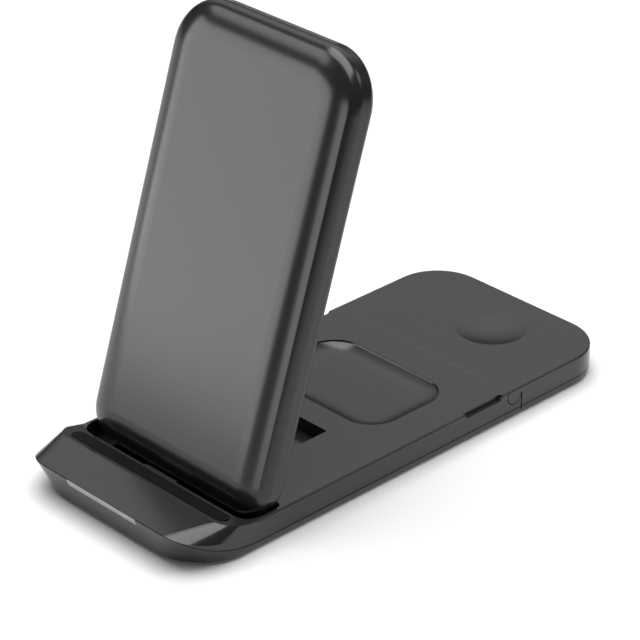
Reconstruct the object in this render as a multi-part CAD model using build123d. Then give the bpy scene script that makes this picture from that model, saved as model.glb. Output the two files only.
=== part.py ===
from build123d import *
import os
from math import atan, cos, degrees, radians, sin, sqrt

os.makedirs("parts", exist_ok=True)

# Base hull
BASE_WIDTH = 80.0
BASE_LENGTH = 187.2
TAIL_LENGTH = 49.2
BODY_HEIGHT = 10.0
FOOT_HEIGHT = 0.6
REAR_CORNER = 17.0
NOSE_CORNER = 13.0
CHIN_CORNER = 20.0
CREST_CORNER = 7.0
NOSE_RISE = 1.4
CREST_RISE = 2.6
APRON_RUN = 14.9
LEDGE_RUN = 10.6
CHIN_UNDERCUT = 3.6
CUT_LIFT = 0.05
SKIRT_STRETCH = 1.3
EDGE_ROUND = 0.7
BOTTOM_ROUND = 2.2
SEAM_HEIGHT = 2.5
SEAM_RUN = 30.0
SEAM_GAP = 0.25
WALL = 2.0
FLOOR = 1.6
DECK_THICK = 2.0

FRONT_Y = -BASE_LENGTH / 2
REAR_Y = BASE_LENGTH / 2
TAIL_SEAM_Y = REAR_Y - TAIL_LENGTH
UNDERSIDE_Z = FOOT_HEIGHT
DECK_Z = UNDERSIDE_Z + BODY_HEIGHT
FLOOR_Z = UNDERSIDE_Z + FLOOR
ROOF_Z = DECK_Z - DECK_THICK
SEAM_Z = UNDERSIDE_Z + SEAM_HEIGHT
NOSE_Z = DECK_Z + NOSE_RISE
CREST_Y = FRONT_Y + APRON_RUN
CREST_Z = DECK_Z + CREST_RISE
LEDGE_Y = CREST_Y + LEDGE_RUN

# Phone panel, its hinge and the prop under it
PANEL_WIDTH = 79.0
PANEL_LENGTH = 145.0
PANEL_DEPTH = 11.6
PANEL_TOP_CORNER = 17.0
PANEL_LOW_CORNER = 11.5
PANEL_LEAN = 72.0
ROLL_WIDTH = 11.4
ROLL_TILT = 28.0
ROLL_EDGE = 4.2
BACK_ROUND = 2.4
PANEL_WALL = 1.8
BACK_RIM = 3.4
COVER_GAP = 0.15
FOLD_GAP = 0.5
HINGE_DROP = 2.6
FOOT_REACH = 4.4
PROP_LENGTH = 18.0
PROP_WIDTH = 22.0
PROP_HALF = 1.8
ROLLER_GAP = 0.3
ROLLER_BORE = 1.2
MOVE_GAP = 0.5

PANEL_BACK_Z = DECK_Z + FOLD_GAP
AXIS_Z = PANEL_BACK_Z - HINGE_DROP
LEAN = radians(PANEL_LEAN)
AXIS_Y = LEDGE_Y + (PANEL_DEPTH + HINGE_DROP + (AXIS_Z - DECK_Z) * cos(LEAN)) / sin(LEAN)
PANEL_END_Y = AXIS_Y - FOOT_REACH
PANEL_MID_Y = PANEL_END_Y + PANEL_LENGTH / 2
PROP_Y = AXIS_Y + PROP_LENGTH
ROLLER_RADIUS = HINGE_DROP - ROLLER_GAP

# Pins, arms and washers of the two hinges in the pocket
PIN_RADIUS = 1.2
PIN_PLAY = 0.05
EYE_RADIUS = 2.2
ARM_WIDTH = 3.0
ARM_ROOT = 5.0
WASHER_THICK = 1.0
WASHER_GAP = 0.2
PIN_HOLD = 2.4

# Recesses of the deck
POCKET_WIDTH = 33.6
TROUGH_WIDTH = 77.4
TROUGH_CORNER = 6.0
TROUGH_LIP = 1.7
TROUGH_HEEL = 1.0
TUB_WALL = 1.2
TUB_CHEEK = 3.0
TAB_WIDTH = 14.5
TAB_REACH = 1.0
TRAY_WIDTH = 54.0
TRAY_FROM_POCKET = 9.45
TRAY_FROM_SEAM = 13.0
TRAY_DEPTH = 2.2
TRAY_EDGE = 0.8
NOTCH_LENGTH = 17.2
NOTCH_WIDTH = 1.4
NOTCH_DEPTH = 1.7
NOTCH_SEAM = 12.3
PAD_WIDTH = 70.6
PAD_LENGTH = 5.4
PAD_THICK = 1.2
PAD_SINK = 0.9
PAD_FROM_CREST = 4.5

TROUGH_FRONT_Y = LEDGE_Y - TROUGH_LIP
TROUGH_REAR_Y = AXIS_Y - TROUGH_HEEL
FOOT_DROP = FOOT_REACH * sin(LEAN) - HINGE_DROP * cos(LEAN)
TROUGH_Z = AXIS_Z - FOOT_DROP - MOVE_GAP
POCKET_Z = AXIS_Z - ROLLER_RADIUS - MOVE_GAP
POCKET_REAR_Y = PROP_Y + PROP_LENGTH + ROLLER_RADIUS + MOVE_GAP
TRAY_LENGTH = TAIL_SEAM_Y - TRAY_FROM_SEAM - POCKET_REAR_Y - TRAY_FROM_POCKET
TRAY_CORNER = TRAY_LENGTH * 0.3
TRAY_ROLL = TRAY_LENGTH * 0.19
TRAY_TILT = 2 * degrees(atan((TRAY_DEPTH - TRAY_EDGE) / (TRAY_ROLL - TRAY_EDGE)))
TRAY_Y = TAIL_SEAM_Y - TRAY_FROM_SEAM - TRAY_LENGTH / 2
PAD_Y = CREST_Y + PAD_FROM_CREST
LEDGE_SLOPE = CREST_RISE / LEDGE_RUN

# Tail hinge and watch dish
TAIL_AXIS_DROP = 2.2
BARREL_RADIUS = 3.0
BARREL_GAP = 0.3
BASE_TOE = 3.2
TAIL_GAP = 0.5
LUG_X = 24.0
LUG_WIDTH = 5.0
LUG_RADIUS = 1.3
LUG_NECK = 2.0
LUG_FOOT = 9.0
TAIL_PIN_RADIUS = 0.75
TAIL_PIN_REACH = 4.0
DISH_X = 6.1
DISH_SEAM = 27.2
DISH_RADIUS = 12.1
DISH_DEPTH = 1.5

TAIL_AXIS_Y = TAIL_SEAM_Y + sqrt(BARREL_RADIUS**2 - TAIL_AXIS_DROP**2)
TAIL_AXIS_Z = DECK_Z - TAIL_AXIS_DROP
TAIL_FACE_Y = TAIL_AXIS_Y + BASE_TOE + TAIL_GAP
TAIL_ROOM_Y = TAIL_FACE_Y + WALL
BASE_ROOM_Y = TAIL_AXIS_Y - BARREL_RADIUS - BARREL_GAP - WALL
DISH_Y = TAIL_SEAM_Y + DISH_SEAM

# Boards, coils and small pieces
BOARD_THICK = 1.2
BOARD_WIDTH = 56.0
BOARD_LENGTH = TRAY_LENGTH * 0.8
POST_HEIGHT = 1.2
POST_INSET = 6.0
COIL_THICK = 1.0
FERRITE_THICK = 0.8
TRAY_COIL_OUT = TRAY_LENGTH * 0.46
TRAY_COIL_IN = TRAY_COIL_OUT * 0.47
PHONE_COIL_PITCH = PANEL_LENGTH * 0.312
PHONE_COIL_GAP = 2.0
PHONE_COIL_OUT = (PHONE_COIL_PITCH - PHONE_COIL_GAP) / 2
PHONE_COIL_IN = PHONE_COIL_OUT * 0.46
PHONE_COIL_REACH = PANEL_LENGTH * 0.555
PANEL_BOARD_REACH = PANEL_LENGTH * 0.21
WATCH_COIL_OUT = 11.0
WATCH_COIL_IN = 5.0
USB_WIDTH = 9.0
USB_HEIGHT = 3.2
USB_LENGTH = 7.4
USB_SKIN = 0.35
BALLAST_THICK = 1.8
BALLAST_WIDTH = 58.0
BALLAST_LENGTH = 34.0
BAR_WIDTH = 31.6
BAR_HEIGHT = 2.2
LIGHT_BOARD_GAP = 1.0
LIGHT_BOARD_LENGTH = 5.0
SCREW_RADIUS = 1.0
SCREW_HEAD = 1.9
SCREW_HEAD_DEEP = 1.0
SCREW_SINK = 0.2
SCREW_FROM_TROUGH = 8.0
SCREW_FROM_CREST = 2.0
SCREW_INSET = 5.0
BOSS_RADIUS = 2.6
FOOT_RADIUS = 4.5
FOOT_SINK = 0.6
FOOT_FROM_CREST = 4.0
FOOT_INSET = 16.0
TAIL_FOOT_INSET = 13.0

BOARD_Z = FLOOR_Z + POST_HEIGHT
TRAY_ROOF_Z = DECK_Z - TRAY_DEPTH - TUB_WALL
DISH_ROOF_Z = DECK_Z - DISH_DEPTH - TUB_WALL
USB_Y = TRAY_Y
BALLAST_Y = POCKET_REAR_Y - BALLAST_LENGTH / 2
BASE_SCREWS = [
    (side * BASE_WIDTH * 0.41, y)
    for side in (-1, 1)
    for y in (TROUGH_REAR_Y + SCREW_FROM_TROUGH, BASE_ROOM_Y - SCREW_INSET)
]
NOSE_SCREWS = [(side * BASE_WIDTH * 0.3, CREST_Y - SCREW_FROM_CREST) for side in (-1, 1)]
TAIL_SCREWS = [
    (-BASE_WIDTH * 0.39, TAIL_ROOM_Y + SCREW_INSET),
    (BASE_WIDTH * 0.39, TAIL_ROOM_Y + SCREW_INSET),
    (0, REAR_Y - WALL - SCREW_INSET),
]
BASE_FEET = [
    (side * BASE_WIDTH * 0.36, y)
    for side in (-1, 1)
    for y in (CREST_Y + FOOT_FROM_CREST, BASE_ROOM_Y - FOOT_INSET)
]
TAIL_FEET = [(side * BASE_WIDTH * 0.26, REAR_Y - TAIL_FOOT_INSET) for side in (-1, 1)]


def outline(width, front, rear, front_corner, rear_corner):
    """Plan of the base with its own radius at each end."""
    sheet = Pos(0, (front + rear) / 2) * Rectangle(width, rear - front)
    sheet = fillet(sheet.vertices().group_by(Axis.Y)[0], front_corner)
    return fillet(sheet.vertices().group_by(Axis.Y)[-1], rear_corner)


def block(x0, x1, y0, y1, z0, z1):
    """Box between three pairs of limits."""
    middle = Pos((x0 + x1) / 2, (y0 + y1) / 2, (z0 + z1) / 2)
    return middle * Box(x1 - x0, y1 - y0, z1 - z0)


def area(y0, y1, z0, z1):
    """Side view rectangle."""
    return Pos((y0 + y1) / 2, (z0 + z1) / 2) * Rectangle(y1 - y0, z1 - z0)


def across(face, width, x=0.0):
    """Side view face made solid over a width centred on x."""
    return extrude(Plane.YZ.offset(x) * face, width / 2, both=True)


def disc(x, y, z0, z1, radius):
    return Pos(x, y, (z0 + z1) / 2) * Cylinder(radius, z1 - z0)


def ring(x, y, z0, z1, outer, inner):
    return disc(x, y, z0, z1, outer) - disc(x, y, z0, z1, inner)


def pin(x0, x1, y, z, radius):
    return Pos((x0 + x1) / 2, y, z) * Rot(0, 90, 0) * Cylinder(radius, x1 - x0)


def pillow(width, length, depth, corners, roll, tilt, edge, back):
    """Slab with a pillow front, back face on z = 0.

    The front rolls off on a wide arc until it leans by the tilt, then turns a tight edge into the wall.
    The corners are the plan radii of the low and the high end.
    """
    swell = (roll - edge) / sin(radians(tilt)) + edge

    def section(reach):
        wide = JernArc((reach - roll, depth), (1, 0), swell, -tilt)
        tight = JernArc(wide @ 1, wide % 1, edge, tilt - 90)
        wall = Line(tight @ 1, (reach, back))
        under = JernArc((reach, back), (0, -1), back, -90)
        rest = Polyline((reach - back, 0), (0, 0), (0, depth), (reach - roll, depth))
        return Plane.XZ * make_face([wide, tight, wall, under, *rest.edges()])

    low, high = corners
    half = width / 2
    right = Pos(0, length / 2 - high) * extrude(section(half), length - low - high)
    for corner, end in ((low, -1), (high, 1)):
        quarter = revolve(section(corner), Axis.Z, 90 * end)
        strip = extrude(Rot(0, 0, 90 * end) * section(corner), half - corner, dir=(1, 0, 0))
        end_y = end * (length / 2 - corner)
        right += [Pos(half - corner, end_y) * quarter, Pos(0, end_y) * strip]
    return right + mirror(right, Plane.YZ)


def turned(solid, y, z, angle):
    """Solid turned about a cross axis."""
    return Pos(0, y, z) * Rot(angle, 0, 0) * Pos(0, -y, -z) * solid


def raised(solid):
    """Panel piece brought from folded flat to its lean."""
    return turned(solid, AXIS_Y, AXIS_Z, PANEL_LEAN)


def propped(solid):
    """Prop piece brought from folded flat to its stand."""
    return turned(solid, PROP_Y, AXIS_Z, 2 * PANEL_LEAN)


def save(name, *solids):
    shapes = [one for solid in solids for one in solid.solids()]
    body = shapes[0] if len(shapes) == 1 else Compound(children=shapes)
    export_step(body, os.path.join("parts", name + ".step"))


# Outer form of base and tail together
low_sheet = Pos(0, 0, UNDERSIDE_Z) * outline(
    BASE_WIDTH, FRONT_Y + CHIN_UNDERCUT, REAR_Y, CHIN_CORNER, REAR_CORNER
)
nose_sheet = Pos(0, 0, NOSE_Z) * outline(BASE_WIDTH, FRONT_Y, REAR_Y, NOSE_CORNER, REAR_CORNER)
hull = loft([low_sheet, nose_sheet], ruled=True)
hull = fillet(hull.edges().group_by(Axis.Z)[0], BOTTOM_ROUND)
hull += extrude(nose_sheet, CREST_Z - NOSE_Z)
sky = CREST_Z + BODY_HEIGHT
apron_slope = (CREST_Z - NOSE_Z) / APRON_RUN
open_air = Polyline(
    (REAR_Y + BODY_HEIGHT, DECK_Z),
    (LEDGE_Y, DECK_Z),
    (CREST_Y, CREST_Z),
    (FRONT_Y - WALL, NOSE_Z - WALL * apron_slope),
    (FRONT_Y - WALL, sky),
    (REAR_Y + BODY_HEIGHT, sky),
    close=True,
)
hull -= across(make_face(open_air), 2 * BASE_WIDTH)

# The nose corners are ruled between the crest line, bent round on the ledge slope, and the parting line.
# The cut is lifted a little so that it crosses the flat faces beside it instead of just touching them.
seam_rise = NOSE_Z - SEAM_Z
seam_radius = (SEAM_RUN**2 + seam_rise**2) / (2 * seam_rise)


def seam_height(y):
    """Height of the parting line near the nose."""
    return SEAM_Z + seam_radius - sqrt(seam_radius**2 - (FRONT_Y + SEAM_RUN - y) ** 2)


def crest_point(turn):
    x = BASE_WIDTH / 2 - CREST_CORNER * (1 - sin(turn))
    y = CREST_Y + CREST_CORNER * (1 - cos(turn))
    return Vector(x + CUT_LIFT, y, DECK_Z + (LEDGE_Y - y) * LEDGE_SLOPE + CUT_LIFT)


def nose_point(turn):
    x = BASE_WIDTH / 2 - NOSE_CORNER * (1 - sin(turn))
    y = FRONT_Y + NOSE_CORNER * (1 - cos(turn))
    return Vector(x + CUT_LIFT, y, seam_height(y) + CUT_LIFT)


turns = [radians(angle) for angle in (0, 22.5, 45, 67.5, 90)]
crest_line = Spline([crest_point(turn) for turn in turns], tangents=[(1, 0, 0), (0, 1, -LEDGE_SLOPE)])
skirt_line = Spline(
    [crest_point(turn) + (nose_point(turn) - crest_point(turn)) * SKIRT_STRETCH for turn in turns]
)
corner_face = Face.make_surface_from_curves(crest_line.edge(), skirt_line.edge())
corner_air = Solid.extrude(corner_face, (0, 0, BODY_HEIGHT))
hull -= [corner_air, mirror(corner_air, Plane.YZ)]
deck_face = hull.faces().filter_by(Axis.Z).sort_by(Axis.Z)[-1]
deck_edges = deck_face.edges().filter_by(lambda e: abs(e.center().Y - LEDGE_Y) > 0.01)
hull = fillet(deck_edges, EDGE_ROUND)


def below_seam(lift):
    """Everything under the parting line, which climbs to the nose edge."""
    start = (FRONT_Y + SEAM_RUN, SEAM_Z + lift)
    nose = (FRONT_Y, NOSE_Z + lift)
    slope = SEAM_RUN / (seam_radius - seam_rise)
    tip = (FRONT_Y - WALL, NOSE_Z + lift + WALL * slope)
    far = REAR_Y + BODY_HEIGHT
    low = -BODY_HEIGHT
    climb = TangentArc(start, nose, tangent=(-1, 0))
    rest = Polyline(nose, tip, (tip[0], low), (far, low), (far, start[1]), start)
    return across(make_face([climb, *rest.edges()]), 2 * BASE_WIDTH)


def tail_zone(gap, toe_gap):
    """Side view of what swings with the tail, grown by the given gaps."""
    far = REAR_Y + BODY_HEIGHT
    top = DECK_Z + BODY_HEIGHT
    barrel = Pos(TAIL_AXIS_Y, TAIL_AXIS_Z) * Circle(BARREL_RADIUS + gap)
    roof = area(TAIL_AXIS_Y, far, TAIL_AXIS_Z - gap, top)
    body = area(TAIL_FACE_Y - toe_gap, far, -BODY_HEIGHT, top)
    return across(barrel + roof + body, 2 * BASE_WIDTH)


base_hull = hull - tail_zone(BARREL_GAP, TAIL_GAP)
tail_hull = hull & tail_zone(0.0, 0.0)
base_low = base_hull & below_seam(0.0)
base_high = base_hull - below_seam(SEAM_GAP)
tail_low = tail_hull & below_seam(0.0)
tail_high = tail_hull - below_seam(SEAM_GAP)

# Rooms inside the shells
base_plan = outline(
    BASE_WIDTH - 2 * WALL,
    FRONT_Y + CHIN_UNDERCUT + WALL,
    BASE_ROOM_Y,
    CHIN_CORNER - WALL,
    WALL,
)
base_room = extrude(Pos(0, 0, FLOOR_Z) * base_plan, ROOF_Z - FLOOR_Z)
tail_plan = outline(BASE_WIDTH - 2 * WALL, TAIL_ROOM_Y, REAR_Y - WALL, WALL, REAR_CORNER - WALL)
tail_room = extrude(Pos(0, 0, FLOOR_Z) * tail_plan, ROOF_Z - FLOOR_Z)

trough_half = TROUGH_WIDTH / 2
pocket_half = POCKET_WIDTH / 2
trough_plan = outline(TROUGH_WIDTH, TROUGH_FRONT_Y, TROUGH_REAR_Y, TROUGH_CORNER, TROUGH_CORNER / 3)
trough = extrude(Pos(0, 0, TROUGH_Z) * trough_plan, CREST_Z - TROUGH_Z)
tab = block(-TAB_WIDTH / 2, TAB_WIDTH / 2, TROUGH_FRONT_Y, TROUGH_FRONT_Y + TAB_REACH, TROUGH_Z, CREST_Z)
pocket = block(-pocket_half, pocket_half, TROUGH_REAR_Y - WALL, POCKET_REAR_Y, POCKET_Z, CREST_Z)
trough_tub = block(
    -trough_half,
    trough_half,
    TROUGH_FRONT_Y - TUB_WALL,
    TROUGH_REAR_Y + TUB_WALL,
    TROUGH_Z - TUB_WALL,
    DECK_Z,
)
pocket_tub = block(
    -pocket_half - TUB_CHEEK,
    pocket_half + TUB_CHEEK,
    TROUGH_REAR_Y,
    POCKET_REAR_Y + TUB_WALL,
    POCKET_Z - TUB_WALL,
    DECK_Z,
)
tray_roll = pillow(
    TRAY_WIDTH,
    TRAY_LENGTH,
    2 * TRAY_DEPTH,
    (TRAY_CORNER, TRAY_CORNER),
    TRAY_ROLL,
    TRAY_TILT,
    TRAY_EDGE,
    TRAY_EDGE,
)
tray = Pos(0, TRAY_Y, DECK_Z + TRAY_DEPTH) * Rot(180, 0, 0) * tray_roll
tray_tub = block(
    -TRAY_WIDTH / 2,
    TRAY_WIDTH / 2,
    TRAY_Y - TRAY_LENGTH / 2,
    TRAY_Y + TRAY_LENGTH / 2,
    TRAY_ROOF_Z,
    DECK_Z,
)
notch_y = TAIL_SEAM_Y - NOTCH_SEAM
notch = Pos(0, notch_y, DECK_Z) * Box(BASE_WIDTH, NOTCH_LENGTH, 2 * NOTCH_DEPTH)
notch = chamfer(notch.edges().filter_by(Axis.X).group_by(Axis.Z)[0], NOTCH_DEPTH * 0.6)
notch -= Pos(0, notch_y, DECK_Z) * Box(BASE_WIDTH - 2 * NOTCH_WIDTH, BASE_LENGTH, BODY_HEIGHT)

# Ledge strip, laid on the slope
pad_z = DECK_Z + (LEDGE_Y - PAD_Y) * LEDGE_SLOPE
pad_plane = Plane((0, PAD_Y, pad_z), x_dir=(1, 0, 0), z_dir=(0, LEDGE_SLOPE, 1))
pad_plan = RectangleRounded(PAD_WIDTH, PAD_LENGTH, PAD_LENGTH * 0.49)
ledge_pad = extrude(pad_plane.offset(-PAD_SINK) * pad_plan, PAD_THICK)
pad_bed = extrude(pad_plane.offset(-PAD_SINK) * pad_plan, PAD_SINK + CREST_RISE)

# Light bar in the chin and the board behind it
bar_box = block(
    -BAR_WIDTH / 2,
    BAR_WIDTH / 2,
    FRONT_Y - WALL,
    FRONT_Y + BAR_HEIGHT * 2,
    NOSE_Z - BAR_HEIGHT,
    CREST_Z,
)
light_bar = base_low & bar_box
light_y = FRONT_Y + CHIN_UNDERCUT + WALL + LIGHT_BOARD_GAP
light_board = block(
    -BAR_WIDTH / 2, BAR_WIDTH / 2, light_y, light_y + LIGHT_BOARD_LENGTH, ROOF_Z - BOARD_THICK, ROOF_Z
)

# Tail hinge lugs
lug_low_z = SEAM_Z + SEAM_GAP + LUG_NECK / 2
lug_face = Pos(TAIL_AXIS_Y, TAIL_AXIS_Z) * Circle(LUG_RADIUS)
lug_face += area(TAIL_AXIS_Y - LUG_NECK / 2, TAIL_AXIS_Y + LUG_NECK / 2, lug_low_z, TAIL_AXIS_Z)
lug_face += area(TAIL_SEAM_Y - LUG_FOOT, TAIL_AXIS_Y + LUG_NECK / 2, lug_low_z, lug_low_z + LUG_NECK / 2)
lug_bore = pin(-BASE_WIDTH, BASE_WIDTH, TAIL_AXIS_Y, TAIL_AXIS_Z, TAIL_PIN_RADIUS + PIN_PLAY)
lugs = [across(lug_face, LUG_WIDTH, side * LUG_X) for side in (-1, 1)]
tail_brackets = [lug - lug_bore for lug in lugs]
tail_pins = [
    pin(
        side * LUG_X - LUG_WIDTH / 2 - TAIL_PIN_REACH,
        side * LUG_X + LUG_WIDTH / 2 + TAIL_PIN_REACH,
        TAIL_AXIS_Y,
        TAIL_AXIS_Z,
        TAIL_PIN_RADIUS,
    )
    for side in (-1, 1)
]
swing = LUG_NECK / 2 + BARREL_GAP
barrel_reach = BARREL_RADIUS + BARREL_GAP
lug_notch_face = Pos(TAIL_AXIS_Y, TAIL_AXIS_Z) * Circle(LUG_RADIUS + BARREL_GAP)
lug_notch_face += area(
    TAIL_AXIS_Y - barrel_reach, TAIL_AXIS_Y + swing, TAIL_AXIS_Z - barrel_reach, TAIL_AXIS_Z + swing
)
lug_notches = [across(lug_notch_face, LUG_WIDTH + 2 * BARREL_GAP, side * LUG_X) for side in (-1, 1)]

# Screws go up from the underside into bosses under the deck
screw_length = ROOF_Z - UNDERSIDE_Z - SCREW_HEAD_DEEP


def screw(x, y):
    head_z = UNDERSIDE_Z + SCREW_SINK
    head = disc(x, y, head_z, head_z + SCREW_HEAD_DEEP, SCREW_HEAD)
    shank = disc(x, y, head_z, UNDERSIDE_Z + screw_length, SCREW_RADIUS)
    return head + shank


def boss(x, y):
    return disc(x, y, UNDERSIDE_Z, ROOF_Z, BOSS_RADIUS)


def foot(x, y):
    return disc(x, y, 0.0, UNDERSIDE_Z + FOOT_SINK, FOOT_RADIUS)


base_screws = [screw(x, y) for x, y in BASE_SCREWS + NOSE_SCREWS]
tail_screws = [screw(x, y) for x, y in TAIL_SCREWS]
base_feet = [foot(x, y) for x, y in BASE_FEET]
tail_feet = [foot(x, y) for x, y in TAIL_FEET]

# Panel hinge and prop pins in the cheeks of the pocket
pin_half = pocket_half + PIN_HOLD
panel_pin = pin(-pin_half, pin_half, AXIS_Y, AXIS_Z, PIN_RADIUS)
prop_pin = pin(-pin_half, pin_half, PROP_Y, AXIS_Z, PIN_RADIUS)
washer_x = pocket_half - WASHER_THICK
hinge_washers = [
    pin(x0, x1, AXIS_Y, AXIS_Z, EYE_RADIUS) - pin(x0, x1, AXIS_Y, AXIS_Z, PIN_RADIUS)
    for x0, x1 in ((washer_x, pocket_half), (-pocket_half, -washer_x))
]

# Power board with its socket in the left wall
usb_z = BOARD_Z + BOARD_THICK + USB_HEIGHT / 2
usb_left = -BASE_WIDTH / 2 + 0.4
usb_plane = Plane((usb_left, USB_Y, usb_z), x_dir=(0, 1, 0), z_dir=(1, 0, 0))
usb_form = extrude(usb_plane * RectangleRounded(USB_WIDTH, USB_HEIGHT, USB_HEIGHT * 0.49), USB_LENGTH)
usb_mouth = RectangleRounded(
    USB_WIDTH - 2 * USB_SKIN, USB_HEIGHT - 2 * USB_SKIN, (USB_HEIGHT - 2 * USB_SKIN) * 0.49
)
usb_socket = usb_form - extrude(usb_plane * usb_mouth, USB_LENGTH - 1.0)
usb_tongue = extrude(usb_plane.offset(1.0) * Rectangle(USB_WIDTH * 0.72, 0.7), USB_LENGTH - 2.0)
usb_hole = extrude(
    usb_plane.offset(-WALL) * RectangleRounded(USB_WIDTH, USB_HEIGHT, USB_HEIGHT * 0.49), USB_LENGTH + WALL
)
board_x = usb_left + 1.8
main_board = block(
    board_x,
    board_x + BOARD_WIDTH,
    USB_Y - BOARD_LENGTH / 2,
    USB_Y + BOARD_LENGTH / 2,
    BOARD_Z,
    BOARD_Z + BOARD_THICK,
)
board_posts = [
    disc(x, y, FLOOR_Z, BOARD_Z, BOSS_RADIUS)
    for x in (board_x + POST_INSET, board_x + BOARD_WIDTH - POST_INSET)
    for y in (USB_Y - BOARD_LENGTH * 0.4, USB_Y + BOARD_LENGTH * 0.4)
]
tray_coil = ring(0, TRAY_Y, TRAY_ROOF_Z - COIL_THICK, TRAY_ROOF_Z, TRAY_COIL_OUT, TRAY_COIL_IN)
ferrite_z = TRAY_ROOF_Z - COIL_THICK - FERRITE_THICK
tray_ferrite = disc(0, TRAY_Y, ferrite_z, ferrite_z + FERRITE_THICK, TRAY_COIL_OUT)
ballast = block(
    -BALLAST_WIDTH / 2,
    BALLAST_WIDTH / 2,
    BALLAST_Y - BALLAST_LENGTH / 2,
    BALLAST_Y + BALLAST_LENGTH / 2,
    FLOOR_Z,
    FLOOR_Z + BALLAST_THICK,
)

# Base shells
base_top = base_high - (base_room - trough_tub - pocket_tub - tray_tub)
base_top += [boss(x, y) & base_high for x, y in BASE_SCREWS + NOSE_SCREWS]
base_top -= trough - tab
base_top -= pocket
base_top -= tray
base_top -= notch
base_top -= pad_bed
base_top -= usb_hole
base_top -= [panel_pin, prop_pin]
base_top -= lugs
base_top -= base_screws
base_bottom = base_low - base_room - bar_box - usb_hole
base_bottom += board_posts
base_bottom += [boss(x, y) & base_low for x, y in BASE_SCREWS + NOSE_SCREWS]
base_bottom -= base_screws
base_bottom -= base_feet
base_bottom -= [disc(x, y, 0, UNDERSIDE_Z + SCREW_SINK, SCREW_HEAD) for x, y in BASE_SCREWS + NOSE_SCREWS]

# Panel shells and what they hold, laid flat on the deck
panel_place = Pos(0, PANEL_MID_Y, PANEL_BACK_Z)
panel_form = pillow(
    PANEL_WIDTH,
    PANEL_LENGTH,
    PANEL_DEPTH,
    (PANEL_LOW_CORNER, PANEL_TOP_CORNER),
    ROLL_WIDTH,
    ROLL_TILT,
    ROLL_EDGE,
    BACK_ROUND,
)
panel_inside = pillow(
    PANEL_WIDTH - 2 * PANEL_WALL,
    PANEL_LENGTH - 2 * PANEL_WALL,
    PANEL_DEPTH - 2 * PANEL_WALL,
    (PANEL_LOW_CORNER - PANEL_WALL, PANEL_TOP_CORNER - PANEL_WALL),
    ROLL_WIDTH - PANEL_WALL,
    ROLL_TILT,
    ROLL_EDGE - PANEL_WALL,
    BACK_ROUND - PANEL_WALL,
)


def back_sheet(inset):
    """Plan of the back cover, shrunk from the panel's outline."""
    return outline(
        PANEL_WIDTH - 2 * inset,
        inset - PANEL_LENGTH / 2,
        PANEL_LENGTH / 2 - inset,
        PANEL_LOW_CORNER - inset,
        PANEL_TOP_CORNER - inset,
    )


back_opening = extrude(back_sheet(BACK_RIM), PANEL_WALL)
back_plate = extrude(back_sheet(BACK_RIM + COVER_GAP), PANEL_WALL)
panel_inner_z = PANEL_BACK_Z + PANEL_WALL
panel_front_z = PANEL_BACK_Z + PANEL_DEPTH - PANEL_WALL
coil_mid_y = AXIS_Y + PHONE_COIL_REACH
phone_coils = [
    ring(0, coil_mid_y + step, panel_front_z - COIL_THICK, panel_front_z, PHONE_COIL_OUT, PHONE_COIL_IN)
    for step in (-PHONE_COIL_PITCH / 2, PHONE_COIL_PITCH / 2)
]
phone_ferrite = Pos(0, coil_mid_y, panel_front_z - COIL_THICK - FERRITE_THICK / 2) * extrude(
    RectangleRounded(2 * PHONE_COIL_OUT, 2 * PHONE_COIL_OUT + PHONE_COIL_PITCH, PHONE_COIL_IN),
    FERRITE_THICK / 2,
    both=True,
)
panel_board_y = AXIS_Y + PANEL_BOARD_REACH
panel_board = block(
    -PHONE_COIL_OUT,
    PHONE_COIL_OUT,
    panel_board_y - PHONE_COIL_IN,
    panel_board_y + PHONE_COIL_IN,
    panel_inner_z + POST_HEIGHT,
    panel_inner_z + POST_HEIGHT + BOARD_THICK,
)
panel_posts = [
    disc(x, panel_board_y, panel_inner_z, panel_inner_z + POST_HEIGHT, BOSS_RADIUS)
    for x in (-PHONE_COIL_IN * 1.6, PHONE_COIL_IN * 1.6)
]
panel_screw_spots = [
    (x, PANEL_MID_Y + y)
    for x in (-PANEL_WIDTH * 0.39, PANEL_WIDTH * 0.39)
    for y in (-PANEL_LENGTH * 0.36, PANEL_LENGTH * 0.38)
]
panel_head_z = PANEL_BACK_Z + SCREW_SINK
panel_screw_top = panel_front_z - PANEL_DEPTH * 0.3
panel_screws = [
    disc(x, y, panel_head_z, panel_head_z + SCREW_HEAD_DEEP, SCREW_HEAD)
    + disc(x, y, panel_head_z, panel_screw_top, SCREW_RADIUS)
    for x, y in panel_screw_spots
]
panel_heads = [disc(x, y, PANEL_BACK_Z, panel_head_z, SCREW_HEAD) for x, y in panel_screw_spots]
panel_solid = panel_place * panel_form
panel_bosses = [
    disc(x, y, panel_inner_z, panel_front_z, BOSS_RADIUS) & panel_solid for x, y in panel_screw_spots
]

arm_outer = washer_x - WASHER_GAP
arm_x = arm_outer - ARM_WIDTH / 2
arm_side = make_face(
    Polyline(
        (AXIS_Y - EYE_RADIUS * 0.8, AXIS_Z + EYE_RADIUS * 0.6),
        (AXIS_Y, PANEL_BACK_Z),
        (AXIS_Y, panel_inner_z),
        (AXIS_Y + ARM_ROOT, panel_inner_z),
        (AXIS_Y + ARM_ROOT, PANEL_BACK_Z),
        (AXIS_Y + EYE_RADIUS * 0.9, AXIS_Z - EYE_RADIUS * 0.4),
        (AXIS_Y, AXIS_Z),
        close=True,
    )
)
arm_face = arm_side + Pos(AXIS_Y, AXIS_Z) * Circle(EYE_RADIUS)
arm_foot = area(AXIS_Y, AXIS_Y + 3 * ARM_ROOT, panel_inner_z, panel_inner_z + POST_HEIGHT)
arm_bore = pin(-pocket_half, pocket_half, AXIS_Y, AXIS_Z, PIN_RADIUS + PIN_PLAY)
hinge_arms = [
    across(arm_face, ARM_WIDTH, side * arm_x) + across(arm_foot, 2 * ARM_WIDTH, side * arm_x) - arm_bore
    for side in (-1, 1)
]
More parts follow.
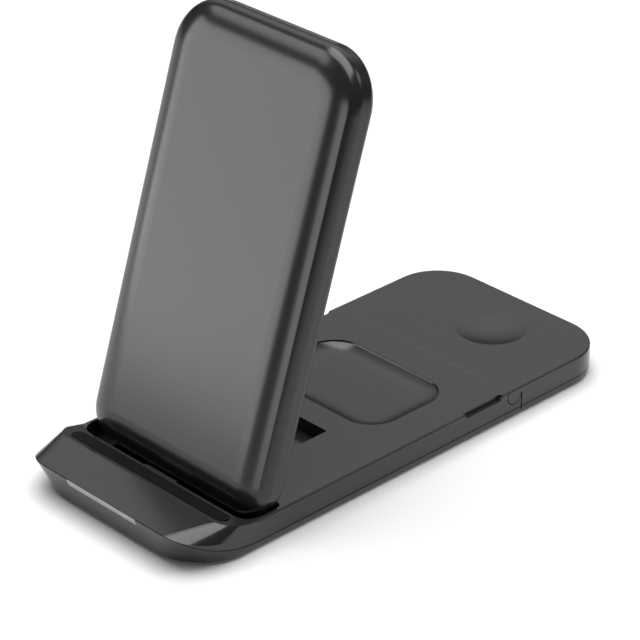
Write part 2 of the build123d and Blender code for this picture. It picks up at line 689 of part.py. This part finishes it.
panel_back = panel_place * back_plate + panel_posts
panel_back -= hinge_arms
panel_back -= panel_screws
panel_back -= panel_heads
panel_front = panel_solid - Pos(0, 0, PANEL_WALL) * panel_place * panel_inside - panel_place * back_opening
panel_front += panel_bosses
panel_front -= panel_screws

# Prop, folded flat in the pocket behind its pin
prop_tip_y = PROP_Y + PROP_LENGTH
leg_face = area(PROP_Y, prop_tip_y, AXIS_Z - PROP_HALF, AXIS_Z + PROP_HALF)
leg_face += Pos(PROP_Y, AXIS_Z) * Circle(EYE_RADIUS)
leg_face += Pos(prop_tip_y, AXIS_Z) * Circle(ROLLER_BORE)
leg_face -= Pos(PROP_Y, AXIS_Z) * Circle(PIN_RADIUS + PIN_PLAY)
prop_leg = across(leg_face, PROP_WIDTH)
roller_half = PROP_WIDTH / 2 - ARM_WIDTH
prop_leg -= block(
    -roller_half,
    roller_half,
    prop_tip_y - ROLLER_RADIUS - PIN_PLAY,
    prop_tip_y + ROLLER_RADIUS,
    AXIS_Z - ROLLER_RADIUS,
    AXIS_Z + ROLLER_RADIUS,
)
prop_leg += pin(-roller_half, roller_half, prop_tip_y, AXIS_Z, ROLLER_BORE)
prop_roller = pin(-roller_half, roller_half, prop_tip_y, AXIS_Z, ROLLER_RADIUS) - pin(
    -roller_half, roller_half, prop_tip_y, AXIS_Z, ROLLER_BORE
)

# Tail shells and what they hold
dish_ball = (DISH_RADIUS**2 + DISH_DEPTH**2) / (2 * DISH_DEPTH)
dish = Pos(DISH_X, DISH_Y, DECK_Z - DISH_DEPTH + dish_ball) * Sphere(dish_ball)
dish_tub = disc(DISH_X, DISH_Y, DISH_ROOF_Z, DECK_Z, DISH_RADIUS + TUB_WALL)
tail_top = tail_high - (tail_room - dish_tub)
tail_top += [boss(x, y) & tail_high for x, y in TAIL_SCREWS]
tail_top -= dish
tail_top -= lug_notches
tail_top -= tail_pins
tail_top -= tail_screws
tail_bottom = tail_low - tail_room
tail_bottom += [boss(x, y) & tail_low for x, y in TAIL_SCREWS]
tail_bottom -= tail_screws
tail_bottom -= tail_feet
tail_bottom -= [disc(x, y, 0, UNDERSIDE_Z + SCREW_SINK, SCREW_HEAD) for x, y in TAIL_SCREWS]
watch_coil = ring(DISH_X, DISH_Y, DISH_ROOF_Z - COIL_THICK, DISH_ROOF_Z, WATCH_COIL_OUT, WATCH_COIL_IN)
cup_z = DISH_ROOF_Z - COIL_THICK - FERRITE_THICK
watch_ferrite = disc(DISH_X, DISH_Y, cup_z, DISH_ROOF_Z, WATCH_COIL_OUT + FERRITE_THICK)
watch_ferrite -= disc(DISH_X, DISH_Y, cup_z + FERRITE_THICK, DISH_ROOF_Z, WATCH_COIL_OUT)

save("base_top", base_top)
save("base_bottom", base_bottom)
save("ledge_pad", ledge_pad)
save("light_bar", light_bar)
save("light_board", light_board)
save("main_board", main_board)
save("usb_socket", usb_socket)
save("usb_tongue", usb_tongue)
save("tray_coil", tray_coil)
save("tray_ferrite", tray_ferrite)
save("ballast", ballast)
save("base_feet", *base_feet)
save("base_screws", *base_screws)
save("panel_pin", panel_pin)
save("hinge_washers", *hinge_washers)
save("prop_pin", prop_pin)
save("tail_brackets", *tail_brackets)
save("panel_front", raised(panel_front))
save("panel_back", raised(panel_back))
save("phone_coil", *[raised(coil) for coil in phone_coils])
save("phone_ferrite", raised(phone_ferrite))
save("panel_board", raised(panel_board))
save("panel_screws", *[raised(one) for one in panel_screws])
save("hinge_arms", *[raised(arm) for arm in hinge_arms])
save("prop_leg", propped(prop_leg))
save("prop_roller", propped(prop_roller))
save("tail_top", tail_top)
save("tail_bottom", tail_bottom)
save("watch_coil", watch_coil)
save("watch_ferrite", watch_ferrite)
save("tail_pins", *tail_pins)
save("tail_feet", *tail_feet)
save("tail_screws", *tail_screws)
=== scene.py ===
# %% [markdown]
# # A foldable three in one charger
# The solids of the charger come from CAD, already in place and in metres. This lesson dresses them: it
# gives each piece the finish that the real one has, models the screws with their driven heads, and sets up
# the light and the camera. We start by loading the solids.

# %% Load the solids
import bpy
import math
from mathutils import Matrix, Vector


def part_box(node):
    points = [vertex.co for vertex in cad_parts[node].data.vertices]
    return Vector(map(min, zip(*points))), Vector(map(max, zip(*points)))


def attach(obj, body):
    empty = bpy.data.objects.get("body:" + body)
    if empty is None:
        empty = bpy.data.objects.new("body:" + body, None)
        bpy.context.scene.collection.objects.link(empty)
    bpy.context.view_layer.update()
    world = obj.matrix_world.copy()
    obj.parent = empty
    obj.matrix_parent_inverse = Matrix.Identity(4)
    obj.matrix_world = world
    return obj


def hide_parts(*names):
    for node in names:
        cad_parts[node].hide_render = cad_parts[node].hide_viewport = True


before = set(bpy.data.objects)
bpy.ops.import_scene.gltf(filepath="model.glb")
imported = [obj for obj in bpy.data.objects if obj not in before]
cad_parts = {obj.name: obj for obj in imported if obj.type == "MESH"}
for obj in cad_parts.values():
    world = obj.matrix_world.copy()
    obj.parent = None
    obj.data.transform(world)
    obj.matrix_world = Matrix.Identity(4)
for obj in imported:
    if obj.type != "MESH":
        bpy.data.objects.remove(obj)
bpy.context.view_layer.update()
print("pieces loaded:", len(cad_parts))

# %% [markdown]
# ## Helpers for every finish
# Colours are easiest to pick as hex values from a screen, but a shader works in linear light, so one function
# turns the first into the second. A second small function adds a node, sets its sockets and links it. Patterns
# are sized in millimetres, and a texture's scale counts repeats per metre, so a third turns one into the other.
# A wave texture runs through twenty radians per unit of its scale, so it has a function of its own.

# %% Colour, scale and node helpers
def linear(code):
    parts = [int(code[i:i + 2], 16) / 255 for i in (1, 3, 5)]
    return tuple(p / 12.92 if p <= 0.04045 else ((p + 0.055) / 1.055) ** 2.4 for p in parts) + (1.0,)


def per_metre(size_mm):
    return 1000 / size_mm


def wave_scale(pitch_mm):
    return per_metre(pitch_mm) * math.tau / 20


def add(tree, kind, settings=None, values=None, links=None):
    node = tree.nodes.new(kind)
    for name, value in (settings or {}).items():
        setattr(node, name, value)
    for socket, value in (values or {}).items():
        node.inputs[socket].default_value = value
    for socket, source in (links or {}).items():
        tree.links.new(source, node.inputs[socket])
    return node


def start(name):
    material = bpy.data.materials.new(name)
    material.use_nodes = True
    material.node_tree.nodes.clear()
    tree = material.node_tree
    place = add(tree, "ShaderNodeTexCoord")
    return material, tree, place.outputs["Object"]


def close(tree, shader):
    add(tree, "ShaderNodeOutputMaterial", links={"Surface": shader.outputs[0]})


def finish(material, *names):
    for name in names:
        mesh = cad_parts[name].data
        mesh.materials.clear()
        mesh.materials.append(material)
    print(material.name, "on", ", ".join(names))


print("mid grey in linear light:", [round(value, 3) for value in linear("#808080")[:3]])

# %% [markdown]
# ## Shell plastic
# The shells are moulded in a dark grey blend of polycarbonate and ABS. The steel mould was spark eroded very
# finely, so the surface has a grit that breaks up a reflection a little without spreading it wide. That is why
# the rolled edges of the panel show clear dark and light bands while the flats look dusty. We keep the colour
# nearly even, let the gloss drift over some twenty millimetres as the mould's polish does, and add the grit as
# bump. The real grit is some 0.05 mm; it is drawn at 0.3 mm, which is as fine as shows in the picture.

# %% Moulded shell plastic
# To the eye: dark grey, softly mirroring, with a dusty bloom on the flats and clear bands on the rolled edges.
def moulded_plastic(name, dark, light, dull, grit_mm, grit_height):
    material, tree, place = start(name)
    grit = add(tree, "ShaderNodeTexNoise",
               values={"Scale": per_metre(grit_mm), "Detail": 2.0, "Roughness": 0.6}, links={"Vector": place})
    drift = add(tree, "ShaderNodeTexNoise", values={"Scale": per_metre(22), "Detail": 3.0},
                links={"Vector": place})
    shade = add(tree, "ShaderNodeMix", {"data_type": "RGBA"}, links={"Factor": grit.outputs["Fac"]})
    shade.inputs["A"].default_value = linear(dark)
    shade.inputs["B"].default_value = linear(light)
    sheen = add(tree, "ShaderNodeMapRange", values={"To Min": dull - 0.02, "To Max": dull + 0.02},
                links={"Value": drift.outputs["Fac"]})
    bump = add(tree, "ShaderNodeBump", values={"Strength": 0.3, "Distance": grit_height},
               links={"Height": grit.outputs["Fac"]})
    shader = add(tree, "ShaderNodeBsdfPrincipled", values={"IOR": 1.5},
                 links={"Base Color": shade.outputs["Result"], "Roughness": sheen.outputs["Result"],
                        "Normal": bump.outputs["Normal"]})
    close(tree, shader)
    return material


shell_grey = moulded_plastic("moulded_pc_abs_grey", "#232324", "#2a2a2b", 0.21, 0.3, 0.00001)
finish(shell_grey, "base_top", "base_bottom", "panel_front", "panel_back", "tail_top", "tail_bottom")

# %% [markdown]
# ## Prop and USB tongue
# The prop carries the panel's load, so it is moulded in black glass filled nylon, which comes out of the mould
# duller and a little rougher than the shells. The recipe is the same with a coarser grit. The tongue in the
# USB-C inlet is black too, with rows of gilt contacts at a pitch of half a millimetre. They are flush strips,
# so a banded colour does for them.

# %% Nylon and contact tongue
# To the eye: the prop is black and dull with a blurred sheen; the tongue is black with thin gold stripes.
prop_black = moulded_plastic("moulded_nylon_black", "#1f1f20", "#28282a", 0.45, 0.5, 0.00002)
finish(prop_black, "prop_leg")

tongue, tree, place = start("gilt_contacts_in_black_lcp")
rows = add(tree, "ShaderNodeTexWave", {"bands_direction": "Y"}, values={"Scale": wave_scale(0.5)},
           links={"Vector": place})
strip = add(tree, "ShaderNodeMath", {"operation": "GREATER_THAN"}, values={1: 0.55},
            links={0: rows.outputs["Fac"]})
colour = add(tree, "ShaderNodeMix", {"data_type": "RGBA"}, links={"Factor": strip.outputs[0]})
colour.inputs["A"].default_value = linear("#141415")
colour.inputs["B"].default_value = linear("#c9a45a")
close(tree, add(tree, "ShaderNodeBsdfPrincipled", values={"Roughness": 0.3},
                links={"Base Color": colour.outputs["Result"], "Metallic": strip.outputs[0]}))
finish(tongue, "usb_tongue")

# %% [markdown]
# ## Rubber
# The ledge strip, the feet and the prop's sleeve are moulded silicone rubber. It is the darkest and dullest
# thing on the charger: it takes dust, so its sheen is patchy, and a fine stipple keeps the phone from
# slipping. We give it a stipple of 0.4 mm and let the dust lighten it slightly in clouds of some millimetres.

# %% Silicone rubber
# To the eye: the blackest surface here, without a mirror image, faintly cloudy where dust clings.
rubber, tree, place = start("moulded_silicone_rubber_black")
dust = add(tree, "ShaderNodeTexNoise", values={"Scale": per_metre(6), "Detail": 4.0}, links={"Vector": place})
stipple = add(tree, "ShaderNodeTexVoronoi", values={"Scale": per_metre(0.4)}, links={"Vector": place})
colour = add(tree, "ShaderNodeMix", {"data_type": "RGBA"}, links={"Factor": dust.outputs["Fac"]})
colour.inputs["A"].default_value = linear("#0d0d0d")
colour.inputs["B"].default_value = linear("#131313")
haze = add(tree, "ShaderNodeMapRange", values={"To Min": 0.66, "To Max": 0.8},
           links={"Value": dust.outputs["Fac"]})
bump = add(tree, "ShaderNodeBump", values={"Strength": 0.25, "Distance": 0.00003},
           links={"Height": stipple.outputs["Distance"]})
close(tree, add(tree, "ShaderNodeBsdfPrincipled", values={"IOR": 1.4, "Specular IOR Level": 0.15},
                links={"Base Color": colour.outputs["Result"], "Roughness": haze.outputs["Result"],
                       "Normal": bump.outputs["Normal"]}))
finish(rubber, "ledge_pad", "base_feet", "tail_feet", "prop_roller")

# %% [markdown]
# ## Light bar
# The bar under the nose edge is a light guide in milky acrylic. Its face has upright ribs 0.7 mm apart, milled
# into the mould, that spread the light of the small lamps behind it. It is unlit here, so it looks pale grey.
# A wave along the bar gives the ribs, in the bump and as painted light and shade: paler and darker bands on the
# rib sides.

# %% Ribbed acrylic
# To the eye: a pale, even strip, the one light thing on the charger, with ribs that show only close up.
acrylic, tree, place = start("moulded_acrylic_milky")
rib_relief_and_shade = add(tree, "ShaderNodeTexWave", {"bands_direction": "X"}, values={"Scale": wave_scale(0.7)},
           links={"Vector": place})
# the paler and darker bands across the ribs are painted light and shade, not a change in the acrylic
colour = add(tree, "ShaderNodeMix", {"data_type": "RGBA"}, links={"Factor": rib_relief_and_shade.outputs["Fac"]})
colour.inputs["A"].default_value = linear("#a0a0a0")
colour.inputs["B"].default_value = linear("#c4c4c4")
bump = add(tree, "ShaderNodeBump", values={"Strength": 0.3, "Distance": 0.00005},
           links={"Height": rib_relief_and_shade.outputs["Fac"]})
close(tree, add(tree, "ShaderNodeBsdfPrincipled", values={"IOR": 1.49, "Roughness": 0.35},
                links={"Base Color": colour.outputs["Result"], "Normal": bump.outputs["Normal"]}))
finish(acrylic, "light_bar")

# %% [markdown]
# ## Steel
# Pins and washers are turned, the hinge arms and brackets are stamped from sheet, and the ballast is sheared
# from bar. All have fine lines left by the tool. A noise that is stretched along one axis gives such lines; it
# goes into the roughness and a faint bump, while the colour stays that of bright steel.

# %% Worked steel
# To the eye: bright metal whose highlights are drawn out across fine tool lines; the screws are the dark one.
def worked_steel(name, tone, dull, line_mm):
    material, tree, place = start(name)
    stretch = add(tree, "ShaderNodeMapping", values={"Scale": (0.04, 1.0, 1.0)}, links={"Vector": place})
    lines = add(tree, "ShaderNodeTexNoise", values={"Scale": per_metre(line_mm), "Detail": 3.0},
                links={"Vector": stretch.outputs["Vector"]})
    gloss = add(tree, "ShaderNodeMapRange", values={"To Min": dull - 0.08, "To Max": dull + 0.08},
                links={"Value": lines.outputs["Fac"]})
    bump = add(tree, "ShaderNodeBump", values={"Strength": 0.2, "Distance": 0.00001},
               links={"Height": lines.outputs["Fac"]})
    close(tree, add(tree, "ShaderNodeBsdfPrincipled", values={"Base Color": linear(tone), "Metallic": 1.0},
                    links={"Roughness": gloss.outputs["Result"], "Normal": bump.outputs["Normal"]}))
    return material


bright_steel = worked_steel("turned_steel_bright", "#b4b4b6", 0.3, 0.2)
stamped_steel = worked_steel("stamped_steel_nickelled", "#a9a8a6", 0.36, 0.3)
black_steel = worked_steel("blackened_screw_steel", "#4a4a4c", 0.38, 0.25)
finish(bright_steel, "panel_pin", "prop_pin", "tail_pins", "hinge_washers", "usb_socket")
finish(stamped_steel, "hinge_arms", "tail_brackets", "ballast")

# %% [markdown]
# ## Boards
# The boards lie inside the shells and are finished like the outside, because someone may open the model. They
# are glass epoxy, etched and then coated with green solder mask. The copper tracks show through it as lighter
# paths and stand up a little, so a brick pattern of four millimetres gives both their colour and their relief.

# %% Solder mask
# To the eye: glossy deep green with a grid of paler, slightly raised lines.
board, tree, place = start("glass_epoxy_green_mask")
tracks = add(tree, "ShaderNodeTexBrick", {"offset": 0.37}, values={"Scale": per_metre(4), "Mortar Size": 0.06},
             links={"Vector": place})
tracks.inputs["Color1"].default_value = linear("#0f4a2c")
tracks.inputs["Color2"].default_value = linear("#11502f")
tracks.inputs["Mortar"].default_value = linear("#2a7a4c")
weave = add(tree, "ShaderNodeTexNoise", values={"Scale": per_metre(0.6)}, links={"Vector": place})
gloss = add(tree, "ShaderNodeMapRange", values={"To Min": 0.25, "To Max": 0.4},
            links={"Value": weave.outputs["Fac"]})
bump = add(tree, "ShaderNodeBump", values={"Strength": 0.3, "Distance": 0.00003},
           links={"Height": tracks.outputs["Fac"]})
close(tree, add(tree, "ShaderNodeBsdfPrincipled", values={"IOR": 1.5},
                links={"Base Color": tracks.outputs["Color"], "Roughness": gloss.outputs["Result"],
                       "Normal": bump.outputs["Normal"]}))
finish(board, "main_board", "light_board", "panel_board")

# %% [markdown]
# ## Coils
# Each coil is a flat spiral of stranded copper wire 0.6 mm thick, wound on a mandrel and bonded with lacquer.
# The solid is a plain ring, so rings of that pitch about its own middle stand for the turns. Each coil lies
# somewhere else, so each gets its own copy of the finish with its own centre, read from its box. The phone
# panel has two coils in one piece, and the rings run about the point between them.

# %% Wound copper
# To the eye: warm metal that catches the light ring by ring, with painted shade darkening the groove between
# turns.
def wound_copper(name, centre):
    material, tree, place = start(name)
    middle = add(tree, "ShaderNodeMapping", values={"Location": [-value for value in centre]},
                 links={"Vector": place})
    turns_and_groove_shade = add(tree, "ShaderNodeTexWave", {"wave_type": "RINGS", "rings_direction": "SPHERICAL"},
                values={"Scale": wave_scale(0.6)}, links={"Vector": middle.outputs["Vector"]})
    # the darker copper colour is painted shade in the grooves between turns, the lighter one the wire's own
    # copper
    colour = add(tree, "ShaderNodeMix", {"data_type": "RGBA"}, links={"Factor": turns_and_groove_shade.outputs["Fac"]})
    colour.inputs["A"].default_value = linear("#6d3417")
    colour.inputs["B"].default_value = linear("#c9794a")
    bump = add(tree, "ShaderNodeBump", values={"Strength": 0.6, "Distance": 0.0002},
               links={"Height": turns_and_groove_shade.outputs["Fac"]})
    close(tree, add(tree, "ShaderNodeBsdfPrincipled", values={"Metallic": 1.0, "Roughness": 0.32},
                    links={"Base Color": colour.outputs["Result"], "Normal": bump.outputs["Normal"]}))
    return material


for coil in ("tray_coil", "watch_coil", "phone_coil"):
    low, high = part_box(coil)
    centre = [(a + b) / 2 for a, b in zip(low, high)]
    finish(wound_copper("wound_copper_" + coil, centre), coil)

# %% [markdown]
# ## Shields
# Behind each coil lies a tile of sintered ferrite, which keeps the field away from the board. It is pressed
# from powder and fired, so it is matt. Its grain is drawn at half a millimetre, coarser than the real one, so
# that it shows in the colour and the bump.

# %% Sintered ferrite
# To the eye: flat charcoal, like unglazed stoneware, with a fine speckle.
ferrite, tree, place = start("sintered_ferrite_charcoal")
grain = add(tree, "ShaderNodeTexVoronoi", values={"Scale": per_metre(0.5)}, links={"Vector": place})
colour = add(tree, "ShaderNodeMix", {"data_type": "RGBA"}, links={"Factor": grain.outputs["Distance"]})
colour.inputs["A"].default_value = linear("#222223")
colour.inputs["B"].default_value = linear("#303031")
bump = add(tree, "ShaderNodeBump", values={"Strength": 0.3, "Distance": 0.00003},
           links={"Height": grain.outputs["Distance"]})
close(tree, add(tree, "ShaderNodeBsdfPrincipled", values={"Roughness": 0.7},
                links={"Base Color": colour.outputs["Result"], "Normal": bump.outputs["Normal"]}))
finish(ferrite, "tray_ferrite", "phone_ferrite", "watch_ferrite")

# %% [markdown]
# ## One screw
# The shells close with small machine screws whose cross driven heads show on the underside and on the back of
# the panel. In CAD each is a plain stepped pin. A real one is headed cold from wire, so the rim of its head is
# round. Here one screw is modelled, head down at the origin: a cylinder for the head, the upper face inset and
# pulled out as the shank, and the rim bevelled. Going from head to shank by inset keeps it one closed skin.

# %% Head and shank
HEAD = 0.0019
HEAD_DEEP = 0.001
SHANK = 0.001
SCREW_LONG = 0.0068
RIM_ROUND = 0.0003


def clear_selection():
    if bpy.context.object and bpy.context.object.mode != "OBJECT":
        bpy.ops.object.mode_set(mode="OBJECT")
    bpy.ops.object.select_all(action="DESELECT")


def model_screw(name):
    clear_selection()
    bpy.ops.mesh.primitive_cylinder_add(vertices=32, radius=HEAD, depth=HEAD_DEEP,
                                        location=(0, 0, HEAD_DEEP / 2))
    screw = bpy.context.object
    screw.name = name
    bpy.ops.object.transform_apply(location=True, rotation=False, scale=False)
    bpy.ops.object.mode_set(mode="EDIT")
    bpy.ops.mesh.select_mode(type="FACE")
    bpy.ops.mesh.select_all(action="DESELECT")
    bpy.ops.object.mode_set(mode="OBJECT")
    for face in screw.data.polygons:
        face.select = face.normal.z > 0.9
    bpy.ops.object.mode_set(mode="EDIT")
    bpy.ops.mesh.inset(thickness=HEAD - SHANK)
    bpy.ops.mesh.extrude_region_move(TRANSFORM_OT_translate={"value": (0, 0, SCREW_LONG - HEAD_DEEP)})
    bpy.ops.mesh.select_all(action="DESELECT")
    bpy.ops.object.mode_set(mode="OBJECT")
    for face in screw.data.polygons:
        face.select = face.normal.z < -0.9
    bpy.ops.object.mode_set(mode="EDIT")
    bpy.ops.mesh.bevel(offset=RIM_ROUND, segments=3, affect="EDGES")
    bpy.ops.object.mode_set(mode="OBJECT")
    return screw


screw = model_screw("shell_screw")
print("screw in mm:", [round(1000 * side, 2) for side in screw.dimensions])

# %% [markdown]
# ## Its cross recess
# The cross is punched into the head by the same blow that forms it. Two small bars, bevelled so that the recess
# has eased corners, are taken out of the head one after the other with a boolean. A boolean suits here because
# the arms cross the rings of the head, which an inset could not follow.

# %% Cross recess
CROSS_BAR = (0.0023, 0.00046, 0.0011)
BAR_EASE = 0.0001


def cut_cross(screw):
    clear_selection()
    for turn in (0.0, math.pi / 2):
        bpy.ops.mesh.primitive_cube_add(size=1.0, rotation=(0, 0, turn), scale=CROSS_BAR)
        arm = bpy.context.object
        bpy.ops.object.transform_apply(location=True, rotation=True, scale=True)
        bpy.ops.object.mode_set(mode="EDIT")
        bpy.ops.mesh.bevel(offset=BAR_EASE, segments=1, affect="EDGES")
        bpy.ops.object.mode_set(mode="OBJECT")
        cut = screw.modifiers.new("cross", "BOOLEAN")
        cut.object = arm
        cut.operation = "DIFFERENCE"
        clear_selection()
        bpy.context.view_layer.objects.active = screw
        bpy.ops.object.modifier_apply(modifier=cut.name)
        bpy.data.objects.remove(arm, do_unlink=True)


cut_cross(screw)
print("screw faces:", len(screw.data.polygons))

# %% [markdown]
# ## Screws in their places
# Each node of screws is replaced by copies of that one. The shell screws point up into the deck's bosses. The
# panel's screws are placed as if the panel lay flat and are then turned up with it, about the hinge pin. Each
# copy is joined to the others of its body, so that one piece stands for one node of the CAD.

# %% Place the screws
SHELL_SEAT_MM = 0.8
PANEL_SEAT_MM = 11.3
HINGE_PIN = (0, -0.0538516, 0.0085)
LEAN_DEGREES = 72


def set_screws(name, body, spots, seat, turn=Matrix.Identity(4)):
    clear_selection()
    copies = []
    for x, y in spots:
        copy = screw.copy()
        copy.data = screw.data.copy()
        bpy.context.collection.objects.link(copy)
        copy.matrix_world = turn @ Matrix.Translation((x / 1000, y / 1000, seat / 1000))
        copy.select_set(True)
        copies.append(copy)
    bpy.context.view_layer.objects.active = copies[0]
    bpy.ops.object.join()
    group = bpy.context.object
    bpy.ops.object.transform_apply(location=True, rotation=True, scale=True)
    group.name = name + "_driven"
    group.data.materials.clear()
    group.data.materials.append(black_steel)
    bpy.ops.object.shade_smooth_by_angle(angle=math.radians(30))
    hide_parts(name)
    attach(group, body)
    print(group.name, "stands for", name, "with", len(spots), "screws")


base_spots = [(-32.8, -46.85), (32.8, -46.85), (-32.8, 36.14), (32.8, 36.14), (-24.0, -80.7), (24.0, -80.7)]
tail_spots = [(-31.2, 57.14), (31.2, 57.14), (0.0, 86.6)]
panel_spots = [(x, y) for x in (-30.81, 30.81) for y in (-37.95, 69.35)]
hinge = Matrix.Translation(HINGE_PIN)
lean = hinge @ Matrix.Rotation(math.radians(LEAN_DEGREES), 4, "X") @ hinge.inverted()
set_screws("base_screws", "base", base_spots, SHELL_SEAT_MM)
set_screws("tail_screws", "tail", tail_spots, SHELL_SEAT_MM)
set_screws("panel_screws", "panel", panel_spots, PANEL_SEAT_MM, lean)
bpy.data.objects.remove(screw, do_unlink=True)

# %% [markdown]
# ## Floor
# The charger stands on a white sweep. The floor is a pale matt surface that keeps the soft shadow, and it glows
# a little for rays that come straight from the camera or from a reflection, so that the background is white
# without putting more light on the charger.

# %% White sweep
clear_selection()
bpy.ops.mesh.primitive_plane_add(size=8.0, location=(0, 0, 0))
floor = bpy.context.object
floor.name = "floor"
material, tree, _ = start("white_sweep")
rays = add(tree, "ShaderNodeLightPath")
first = add(tree, "ShaderNodeMath", {"operation": "ADD"},
            links={0: rays.outputs["Is Camera Ray"], 1: rays.outputs["Is Glossy Ray"]})
seen = add(tree, "ShaderNodeMath", {"operation": "ADD", "use_clamp": True},
           links={0: first.outputs[0], 1: rays.outputs["Is Transmission Ray"]})
GLOW = 0.05
glow = add(tree, "ShaderNodeMath", {"operation": "MULTIPLY"}, values={1: GLOW}, links={0: seen.outputs[0]})
paint = add(tree, "ShaderNodeBsdfDiffuse", values={"Color": linear("#f3f3f3")})
lift = add(tree, "ShaderNodeEmission", links={"Strength": glow.outputs[0]})
close(tree, add(tree, "ShaderNodeAddShader", links={0: paint.outputs[0], 1: lift.outputs[0]}))
floor.data.materials.append(material)
print("floor:", [round(side, 1) for side in floor.dimensions])

# %% [markdown]
# ## Studio walls
# A satin dark object is lit by what it mirrors. The deck, the tray and the dish all mirror the wall at the back
# left, so that wall is white and gets brighter towards the ceiling, while the rest of the room is nearly dark.
# The direction of a ray gives both: how near it points to the wall, and how high. A smooth wall keeps the
# hollows of the tray and the dish free of hard bands.

# %% World
WALL_WAY = (-0.58, 0.65, 0.49)
WALL_TOP = 2.25
ROOM_LEVEL = 0.04

world = bpy.data.worlds.new("studio")
bpy.context.scene.world = world
world.use_nodes = True
room = world.node_tree
room.nodes.clear()
ray = add(room, "ShaderNodeTexCoord").outputs["Generated"]
facing = add(room, "ShaderNodeVectorMath", {"operation": "DOT_PRODUCT"}, values={1: WALL_WAY},
             links={0: ray})
wall = add(room, "ShaderNodeMapRange", {"interpolation_type": "SMOOTHSTEP"},
           values={"From Min": 0.74, "From Max": 0.96}, links={"Value": facing.outputs["Value"]})
height = add(room, "ShaderNodeSeparateXYZ", links={0: ray})
rise = add(room, "ShaderNodeMapRange", values={"From Min": 0.14, "To Max": WALL_TOP},
           links={"Value": height.outputs["Z"]})
level = add(room, "ShaderNodeMath", {"operation": "MULTIPLY_ADD"}, values={2: ROOM_LEVEL},
            links={0: wall.outputs["Result"], 1: rise.outputs["Result"]})
sky = add(room, "ShaderNodeBackground", links={"Strength": level.outputs[0]})
add(room, "ShaderNodeOutputWorld", links={"Surface": sky.outputs[0]})
print("world nodes:", len(room.nodes))

# %% [markdown]
# ## Soft boxes
# A wide box overhead gives the floor its white and the shadow under the base, and one at the back right catches
# the rim of the deck. The other three are cards that are only there to be mirrored, so they are hidden from
# diffuse rays and leave the shadow in front of the nose dark. A low card at the front left is what the panel's
# face mirrors. A narrow strip straight in front draws the light line along the panel's right edge, with dark
# room on both sides of it, and a small card higher up draws the line along its top edge.

# %% Lamps
def soft_box(name, place, aim, size, radiance, card=False):
    light = bpy.data.lights.new(name, "AREA")
    light.shape = "RECTANGLE"
    light.size, light.size_y = size
    light.energy = radiance * math.pi * size[0] * size[1]
    holder = bpy.data.objects.new(name, light)
    holder.visible_diffuse = not card
    bpy.context.collection.objects.link(holder)
    turn = (Vector(aim) - Vector(place)).to_track_quat("-Z", "Y").to_matrix().to_4x4()
    holder.matrix_world = Matrix.Translation(place) @ turn
    print(name, round(light.energy, 2), "W")


soft_box("overhead_box", (-0.08, -0.08, 1.5), (-0.08, -0.08, 0), (1.6, 1.3), 4.45)
soft_box("rim_box", (0.65, 0.85, 0.85), (0, 0, 0), (0.45, 0.45), 2.2)
soft_box("face_card", (-0.3, -0.37, 0.14), (0, -0.05, 0.08), (0.41, 0.31), 3.4, card=True)
soft_box("edge_card", (0.15, -0.95, 0.2), (0.02, -0.06, 0.05), (0.17, 0.42), 3.7, card=True)
soft_box("crown_card", (-0.7, -0.5, 0.81), (0, 0, 0.13), (0.6, 0.26), 3.0, card=True)

# %% [markdown]
# ## Camera
# The camera stands at the right front, a little under thirty degrees up, with a long lens. Place and turn come
# from fitting the straight edges of the base and the panel to a perspective with square corners.

# %% Camera
lens = bpy.data.cameras.new("photo_view")
lens.sensor_width = 36.0
lens.lens = 161.43
eye = bpy.data.objects.new("photo_view", lens)
bpy.context.collection.objects.link(eye)
right = Vector((0.6933, 0.7207, 0.0))
up = Vector((-0.3445, 0.3314, 0.8783))
back = Vector((0.633, -0.6089, 0.4781))
turn = Matrix((right, up, back)).transposed().to_4x4()
eye.matrix_world = Matrix.Translation((0.572405, -0.552548, 0.470976)) @ turn
bpy.context.scene.camera = eye
bpy.context.scene.view_settings.view_transform = "Standard"
print("camera at", [round(value, 3) for value in eye.matrix_world.translation])
